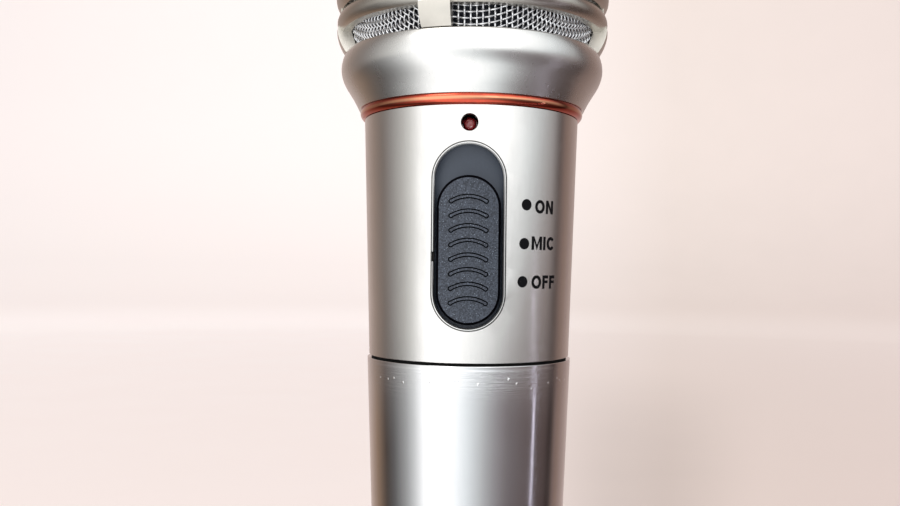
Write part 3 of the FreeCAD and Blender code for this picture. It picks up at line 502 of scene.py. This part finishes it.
def outward(finish):
    """1 where a surface faces straight away from the handle's axis, 0 on walls and slopes."""
    shape = finish.add("ShaderNodeNewGeometry")
    nx, ny, _ = finish.parts(shape.outputs["Normal"])
    x, y, _ = finish.parts(finish.place)
    away = finish.math("SQRT", finish.plus(finish.times(x, x), finish.times(y, y)))
    along = finish.plus(finish.times(nx, x), finish.times(ny, y))
    return finish.span(finish.math("DIVIDE", along, away), 0.88, 0.96)


def knob_slate(name):
    """Moulded slate plastic: spark-eroded grain and painted glints on the outer face, painted shade on
    the walls.
    """
    finish = Finish(name, specular=0.4)
    grain = finish.noise(finish.place, 3.4, 3.0, 0.6)
    pits = finish.cells(finish.place, 2.6)
    glint = finish.span(pits, 0.20, 0.06)
    shade = finish.mix(finish.span(grain, 0.40, 0.60), (0.016, 0.020, 0.030), (0.050, 0.061, 0.084))
    x, y, z = finish.parts(finish.place)
    away = finish.math("SQRT", finish.plus(finish.times(x, x), finish.times(y, y)))
    skin = finish.plus(finish.times(z, SLOPE), HOUSING_BASE_R - SLOPE * HOUSING_LOW.z / MM)
    proud = finish.math("SUBTRACT", away, skin)
    face = finish.times(outward(finish), finish.span(proud, 0.70, 0.92))
    # Walls, grooves and slopes are painted near-black: painted shade.
    dark = finish.mix(face, (0.002, 0.002, 0.003), shade)
    # Pale blue-white spots on the face's pits: painted glints.
    finish.colour(finish.mix(finish.times(finish.times(glint, 0.85), face), dark, (0.36, 0.43, 0.52)))
    finish.feed(finish.shader.inputs["Specular IOR Level"], finish.times(face, 0.4))
    hidden = finish.span(face, 1.0, 0.0, 0.0, 0.3)
    finish.rough(finish.plus(finish.span(grain, 0.3, 0.7, 0.34, 0.5), hidden))
    finish.bump(finish.times(grain, face), 0.05)
    finish.bump(finish.times(glint, face), 0.03)
    return finish.material


def plate_slate(name):
    finish = Finish(name, specular=0.4)
    streak = finish.noise(finish.stretched(1.0, 1.0, 0.15), 1.8, 3.0)
    finish.colour(finish.mix(streak, (0.038, 0.048, 0.068), (0.052, 0.064, 0.086)))
    finish.rough(finish.span(streak, 0.3, 0.7, 0.36, 0.46))
    finish.bump(finish.noise(finish.place, 6.0, 3.0), 0.004)
    return finish.material


def lamp_red(name):
    finish = Finish(name, transmission=0.35, ior=1.5, coat=1.0, coat_rough=0.03)
    cloud = finish.noise(finish.place, 1.3, 2.0)
    finish.colour(finish.mix(cloud, (0.30, 0.012, 0.018), (0.42, 0.03, 0.035)))
    finish.rough(finish.span(cloud, 0.3, 0.7, 0.08, 0.16))
    finish.bump(cloud, 0.002)
    return finish.material


def mesh_steel(name):
    """Nickelled steel wire."""
    finish = Finish(name, metallic=1.0)
    both = smudges(finish, 0.2, 0.32, 0.5)
    finish.colour(finish.mix(finish.span(both, 0.3, 0.7), (0.83, 0.84, 0.86), (0.66, 0.66, 0.68)))
    finish.bump(finish.noise(finish.place, 8.0, 2.0), 0.002)
    return finish.material


def foam_grey(name):
    finish = Finish(name, specular=0.2, sheen=0.2)
    pores = finish.cells(finish.place, 2.2)
    finish.colour(finish.ramp(pores, [(0.0, (0.004, 0.005, 0.007)), (0.35, (0.018, 0.02, 0.028)),
                                      (0.8, (0.04, 0.045, 0.06))]))
    finish.rough(finish.span(pores, 0.0, 0.6, 0.8, 0.95))
    finish.bump(pores, 0.3)
    return finish.material


def plain_plastic(name, base, low, high, grain=4.0, depth=0.006, specular=0.45):
    finish = Finish(name, specular=specular)
    dust = finish.noise(finish.place, 0.35, 4.0)
    paler = tuple(min(1.0, 1.35 * c + 0.3 * min(c, 0.02)) for c in base)
    finish.colour(finish.mix(finish.span(dust, 0.42, 0.78), base, paler))
    finish.rough(finish.span(dust, 0.3, 0.7, low, high))
    finish.bump(finish.noise(finish.place, grain, 3.0), depth)
    return finish


def plain_metal(name, base, low, high, turned=0.0, scale=0.4):
    finish = Finish(name, metallic=1.0)
    both = smudges(finish, low, high, scale)
    dull = tuple(0.82 * c for c in base)
    finish.colour(finish.mix(finish.span(both, 0.3, 0.75), base, dull))
    finish.bump(finish.noise(finish.stretched(1.0, 1.0, 1.0), 6.0, 2.0), 0.002)
    if turned:
        finish.bump(finish.noise(finish.stretched(0.05, 0.05, 1.0), 5.0, 2.0), turned)
    return finish


def board_green(name):
    """Solder mask with copper tracks under it."""
    finish = Finish(name, coat=0.5, coat_rough=0.15)
    tracks = finish.add("ShaderNodeTexBrick", {"Vector": finish.stretched(1.0, 0.0, 1.0), "Scale": 0.9,
                                               "Mortar Size": 0.06, "Bias": 0.0, "Brick Width": 2.2,
                                               "Row Height": 0.9}).outputs["Fac"]
    cloud = finish.noise(finish.place, 0.6, 2.0)
    green = finish.mix(cloud, (0.008, 0.07, 0.03), (0.015, 0.10, 0.04))
    finish.colour(finish.mix(tracks, green, (0.05, 0.19, 0.08)))
    finish.rough(finish.span(cloud, 0.3, 0.7, 0.25, 0.38))
    finish.bump(tracks, 0.03)
    return finish.material


def cell_jacket(name):
    """Two-tone printed sleeve, with no lettering."""
    finish = Finish(name, coat=0.6, coat_rough=0.08)
    _, _, z = finish.parts(finish.place)
    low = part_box("left_cell")[0].z / MM
    band = finish.span(z, low + 33.0, low + 33.3)
    wear = finish.noise(finish.place, 0.5, 3.0)
    body = finish.mix(band, (0.02, 0.022, 0.028), (0.55, 0.23, 0.06))
    finish.colour(finish.mix(finish.span(wear, 0.55, 0.8, 0.0, 0.4), body, (0.20, 0.17, 0.14)))
    finish.rough(finish.span(wear, 0.3, 0.7, 0.22, 0.35))
    finish.bump(wear, 0.01)
    return finish.material


def membrane_clear(name):
    finish = Finish(name, transmission=0.5, ior=1.5, specular=0.6)
    ripple = finish.noise(finish.place, 0.9, 2.0)
    finish.colour(finish.mix(ripple, (0.72, 0.60, 0.36), (0.80, 0.70, 0.48)))
    finish.rough(finish.span(ripple, 0.3, 0.7, 0.12, 0.22))
    finish.bump(ripple, 0.02)
    return finish.material


def coil_copper(name):
    finish = Finish(name, metallic=1.0, coat=0.6, coat_rough=0.1)
    _, _, z = finish.parts(finish.place)
    turns = finish.math("SINE", finish.times(z, 2 * math.pi / 0.18))
    tone = finish.noise(finish.place, 1.5, 2.0)
    finish.colour(finish.mix(tone, (0.72, 0.30, 0.13), (0.60, 0.22, 0.09)))
    finish.rough(finish.span(tone, 0.3, 0.7, 0.22, 0.36))
    finish.bump(turns, 0.03)
    return finish.material


def ink_black(name):
    """Pad-printed ink with a few worn pinholes."""
    finish = Finish(name, specular=0.12)
    worn = finish.noise(finish.place, 2.6, 4.0, 0.7)
    finish.colour(finish.mix(finish.span(worn, 0.66, 0.72), (0.002, 0.002, 0.003), (0.20, 0.19, 0.18)))
    finish.rough(finish.span(worn, 0.3, 0.7, 0.5, 0.7))
    finish.bump(worn, 0.006)
    return finish.material


def simple(make, *settings, **more):
    """A row of the table below for a finish that needs only numbers."""
    return lambda name: make(name, *settings, **more).material


FINISHES = {
    "collar_silver": simple(satin_silver, (0.79, 0.785, 0.77), 0.24, 0.31),
    "cage_silver": simple(satin_silver, (0.63, 0.60, 0.545), 0.26, 0.36, coat=0.1),
    "tail_silver": simple(satin_silver, (0.78, 0.77, 0.755), 0.24, 0.32),
    "seam_black": simple(plain_plastic, (0.003, 0.003, 0.003), 0.6, 0.8, specular=0.08),
    "frame_black": simple(plain_plastic, (0.018, 0.018, 0.020), 0.38, 0.55),
    "part_black": simple(plain_plastic, (0.014, 0.014, 0.016), 0.3, 0.45),
    "rubber_black": simple(plain_plastic, (0.012, 0.012, 0.013), 0.6, 0.8, 2.0, 0.02, 0.3),
    "felt_grey": simple(plain_plastic, (0.10, 0.10, 0.105), 0.85, 0.95, 3.0, 0.12, 0.1),
    "lead_red": simple(plain_plastic, (0.42, 0.015, 0.012), 0.3, 0.45, 3.0, 0.004),
    "lead_white": simple(plain_plastic, (0.62, 0.60, 0.56), 0.32, 0.46, 3.0, 0.004),
    "steel_bright": simple(plain_metal, (0.72, 0.72, 0.73), 0.22, 0.36),
    "contact_gold": simple(plain_metal, (0.86, 0.62, 0.27), 0.16, 0.28),
    "capsule_aluminium": simple(plain_metal, (0.70, 0.70, 0.71), 0.25, 0.38, 0.006),
    "magnet_grey": simple(plain_metal, (0.32, 0.32, 0.34), 0.2, 0.32),
    "housing_silver": housing_silver, "trim_silver": trim_silver, "accent_red": accent_red,
    "cover_aluminium": cover_aluminium,
    "knob_slate": knob_slate, "plate_slate": plate_slate, "lamp_red": lamp_red,
    "mesh_steel": mesh_steel, "foam_grey": foam_grey, "board_green": board_green,
    "cell_jacket": cell_jacket, "membrane_clear": membrane_clear, "coil_copper": coil_copper,
}


def paint_nodes():
    """Gives every CAD node the finish that its material slot names."""
    made = {}
    for node in NODES.values():
        for place in node.material_slots:
            name = place.material.name.split(".")[0]
            if name not in made:
                made[name] = FINISHES[name](name)
            place.material = made[name]
    return made


# ---------------------------------------------------------------- woven grille

BALL_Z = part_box("grille_mesh")[1].z - (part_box("grille_mesh")[1].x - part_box("grille_mesh")[0].x) / 2
WEAVE_R = 0.02462
WIRE_R = 0.0002
PITCH = 0.00108
WAVE = 0.0002
EQUATOR_Z = BALL_Z + 0.0003
NET_REACH = 44


def draped_net(reach):
    """Nodes of a flat square cloth pressed over a unit ball from its pole, wires inextensible."""
    step = 2 * math.asin(PITCH / WEAVE_R / 2)
    net = {}
    for k in range(-reach, reach + 1):
        net[k, 0] = Vector((math.sin(step * k), 0, math.cos(step * k)))
        net[0, k] = Vector((0, math.sin(step * k), math.cos(step * k)))
    for i in range(1, reach + 1):
        for j in range(1, reach + 1):
            for a, b in ((i, j), (-i, j), (i, -j), (-i, -j)):
                u = 1 if a > 0 else -1
                v = 1 if b > 0 else -1
                if (a - u, b) in net and (a, b - v) in net:
                    crossing = corner(net[a - u, b - v], net[a - u, b], net[a, b - v])
                    if crossing is not None:
                        net[a, b] = crossing
    return net


def corner(before, left, right):
    """The fourth corner of an equal-sided net cell on the unit ball."""
    across = left.cross(right)
    if across.length < 1e-6 or left.dot(right) < 0.5:
        return None
    across.normalize()
    after = before - across * (2 * before.dot(across))
    gain = (after - left).cross(after - right).length
    if gain < 0.12 * (PITCH / WEAVE_R) ** 2:
        return None
    return after


def tube(mesh, path, sides, radius):
    """A round wire along a path, closed at both ends."""
    rings = []
    side = None
    for k, point in enumerate(path):
        ahead = (path[min(k + 1, len(path) - 1)] - path[max(k - 1, 0)]).normalized()
        out = point - Vector((0, 0, BALL_Z))
        side = ahead.cross(out).normalized()
        up = side.cross(ahead).normalized()
        turns = (2 * math.pi * n / sides for n in range(sides))
        rings.append([mesh.verts.new(point + radius * (math.cos(a) * side + math.sin(a) * up))
                      for a in turns])
    for low, high in zip(rings, rings[1:]):
        for n in range(sides):
            mesh.faces.new((low[n], low[(n + 1) % sides], high[(n + 1) % sides], high[n]))
    mesh.faces.new(rings[0][::-1])
    mesh.faces.new(rings[-1])


def wires(name, net, along, low, high, flip, sides, steps):
    """One family of the cloth's wires between two heights, waving over and under the other."""
    mesh = bmesh.new()
    reach = max(abs(i) for i, _ in net)
    for row in range(-reach, reach + 1):
        run = []
        for k in range(-reach, reach + 1):
            key = (k, row) if along == 0 else (row, k)
            node = net.get(key)
            place = None
            if node is not None:
                place = Vector((node.x, node.y, -node.z if flip else node.z))
                height = BALL_Z + place.z * WEAVE_R
                if not low <= height <= high:
                    place = None
            if place is None:
                weave_run(mesh, run, row, along, sides, steps)
                run = []
            else:
                run.append((k, place))
        weave_run(mesh, run, row, along, sides, steps)
    piece = as_object(mesh, name)
    return piece


def weave_run(mesh, run, row, along, sides, steps):
    if len(run) < 3:
        return
    path = []
    for n in range((len(run) - 1) * steps + 1):
        index, part = divmod(n, steps)
        part /= steps
        place = run[index][1]
        if part:
            place = place.lerp(run[index + 1][1], part).normalized()
        phase = math.pi * (run[index][0] + part + row + along)
        radius = WEAVE_R + WAVE * math.cos(phase)
        path.append(Vector((0, 0, BALL_Z)) + place * radius)
    tube(mesh, path, sides, WIRE_R)


def make_weave(steel):
    net = draped_net(NET_REACH)
    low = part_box("grille_mesh")[0].z
    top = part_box("grille_mesh")[1].z
    pieces = []
    for label, along in (("warp", 0), ("weft", 1)):
        pieces.append(wires("lower_" + label, net, along, low, EQUATOR_Z, True, 6, 4))
        pieces.append(wires("upper_" + label, net, along, EQUATOR_Z, top, False, 5, 4))
    for piece in pieces:
        piece.data.materials.append(steel)
        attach(piece, "head")
    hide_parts("grille_mesh")


# ---------------------------------------------------------------- foam

FOAM_GAP = 0.00012
FOAM_T = 0.0028
PORE_DEPTH = 0.00022


def make_foam(finish):
    """Open-cell foam lining behind the mesh."""
    low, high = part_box("foam_windscreen")
    outer = high.z - BALL_Z - FOAM_GAP
    inner = outer - FOAM_T
    base = low.z
    profile = dome_profile(outer, base, 120) + dome_profile(inner, base, 40)[::-1]
    foam = turned_mesh("foam_lining", profile, 256)
    centre = Vector((0, 0, BALL_Z))
    for vertex in foam.data.vertices:
        out = vertex.co - centre
        if out.length > outer - 0.0001 and vertex.co.z > base + 0.0002:
            pore = noise.noise(vertex.co * 900) * 0.5 + noise.noise(vertex.co * 2100) * 0.35
            vertex.co = centre + out * (1 - PORE_DEPTH * (1 + pore) / outer)
    foam.data.materials.append(finish)
    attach(foam, "head")
    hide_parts("foam_windscreen")


def dome_profile(radius, base, steps):
    """(radius, height) points of a ball's outline from a level up to its pole."""
    start = math.asin((base - BALL_Z) / radius)
    turns = (start + (math.pi / 2 - start) * k / steps for k in range(steps + 1))
    return [(radius * math.cos(a), BALL_Z + radius * math.sin(a)) for a in turns]


# ---------------------------------------------------------------- printed marks

CAP_H = 2.45
STROKE = 0.56
DOT_R = 1.03
INK_LIFT = 0.012
INK_T = 0.02
BEND_STEP = 0.3
LETTER_GAP = 0.36
# Word, middle height, the dot's angle and height, and the angle where the word starts.
ROWS = (("ON", 158.45, 30.3, 158.68, 35.6), ("MIC", 151.85, 29.5, 151.69, 34.0),
        ("OFF", 144.8, 29.0, 144.85, 34.6))


def oval(width, start=0.0, end=360.0, steps=36):
    """Outline of a ring or of an open ring, as used for O and C."""
    a, b = width / 2, CAP_H / 2
    turns = [math.radians(start + (end - start) * k / steps) for k in range(steps + 1)]
    outer = [(a + a * math.cos(t), b + b * math.sin(t)) for t in turns]
    inner = [(a + (a - STROKE) * math.cos(t), b + (b - STROKE) * math.sin(t)) for t in turns]
    return outer, inner


def letter_faces(letter):
    """Flat faces of a plain block letter and its width, in millimetres."""
    s, h = STROKE, CAP_H
    if letter in "OC":
        width = 2.3 if letter == "O" else 2.15
        span = (0.0, 360.0) if letter == "O" else (38.0, 322.0)
        outer, inner = oval(width, *span)
        quads = [(outer[k], outer[k + 1], inner[k + 1], inner[k]) for k in range(len(outer) - 1)]
        return quads, width if letter == "O" else width * 0.93
    if letter == "N":
        w = 1.95
        return [((0, 0), (s, 0), (s, h * 0.64), (s, h), (0, h)),
                ((s, h), (s, h * 0.64), (w - s, 0), (w - s, h * 0.36)),
                ((w - s, 0), (w, 0), (w, h), (w - s, h), (w - s, h * 0.36))], w
    if letter == "M":
        w = 2.45
        m = w / 2
        return [((0, 0), (s, 0), (s, h * 0.70), (s, h), (0, h)),
                ((s, h), (s, h * 0.70), (m, 0), (m, h * 0.36)),
                ((m, h * 0.36), (m, 0), (w - s, h * 0.70), (w - s, h)),
                ((w - s, 0), (w, 0), (w, h), (w - s, h), (w - s, h * 0.70))], w
    if letter == "I":
        return [((0, 0), (s, 0), (s, h), (0, h))], s
    low, high = 0.42 * h, 0.42 * h + s * 0.9
    return [((0, 0), (s, 0), (s, low), (s, high), (s, h - s), (s, h), (0, h)),
            ((s, low), (1.38, low), (1.38, high), (s, high)),
            ((s, h - s), (1.5, h - s), (1.5, h), (s, h))], 1.5


def housing_radius(z):
    """Outer radius of the housing at a height, both in millimetres."""
    part = (z * MM - HOUSING_LOW.z) / (HOUSING_HIGH.z - HOUSING_LOW.z)
    return HOUSING_BASE_R + (HOUSING_HIGH.x / MM - HOUSING_BASE_R) * part


def printed(mesh, faces, angle, z):
    """Wraps flat faces round the housing; x starts at an angle from the front, y at a height."""
    flat = bmesh.new()
    for face in faces:
        flat.faces.new([flat.verts.new((x, y, 0)) for x, y in face])
    bmesh.ops.remove_doubles(flat, verts=flat.verts, dist=1e-4)
    reach = max(v.co.x for v in flat.verts)
    start = min(v.co.x for v in flat.verts)
    cut = start + BEND_STEP
    while cut < reach:
        everything = flat.verts[:] + flat.edges[:] + flat.faces[:]
        bmesh.ops.bisect_plane(flat, geom=everything, plane_co=(cut, 0, 0), plane_no=(1, 0, 0))
        cut += BEND_STEP
    raised = bmesh.ops.extrude_face_region(flat, geom=flat.faces[:])
    for item in raised["geom"]:
        if isinstance(item, bmesh.types.BMVert):
            item.co.z = 1.0
    bmesh.ops.recalc_face_normals(flat, faces=flat.faces[:])
    made = {}
    for vertex in flat.verts:
        x, y, layer = vertex.co
        height = z + y
        radius = housing_radius(height) + INK_LIFT + INK_T * layer
        turn = math.radians(angle - 90) + x / housing_radius(z)
        place = Vector((radius * math.cos(turn), radius * math.sin(turn), height)) * MM
        made[vertex] = mesh.verts.new(place)
    for face in flat.faces:
        mesh.faces.new([made[v] for v in face.verts])
    flat.free()


def make_marks(ink):
    """A dot and a plain function word at each position of the switch."""
    for word, middle, dot_angle, dot_z, start in ROWS:
        mesh = bmesh.new()
        turns = [2 * math.pi * k / 32 for k in range(32)]
        dot = [(DOT_R * math.cos(a), DOT_R * math.sin(a)) for a in turns]
        printed(mesh, [dot], dot_angle, dot_z)
        angle = start
        for letter in word:
            faces, width = letter_faces(letter)
            printed(mesh, faces, angle, middle - CAP_H / 2)
            angle += math.degrees((width + LETTER_GAP) / housing_radius(middle))
        marks = as_object(mesh, "print_" + word.lower(), smooth=False)
        marks.data.materials.append(ink)
        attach(marks, "handle")


# ---------------------------------------------------------------- assembly


make_camera()
make_stage()
make_room()
make_lamp()
made = paint_nodes()
make_weave(made["mesh_steel"])
make_foam(made["foam_grey"])
make_marks(ink_black("ink_black"))
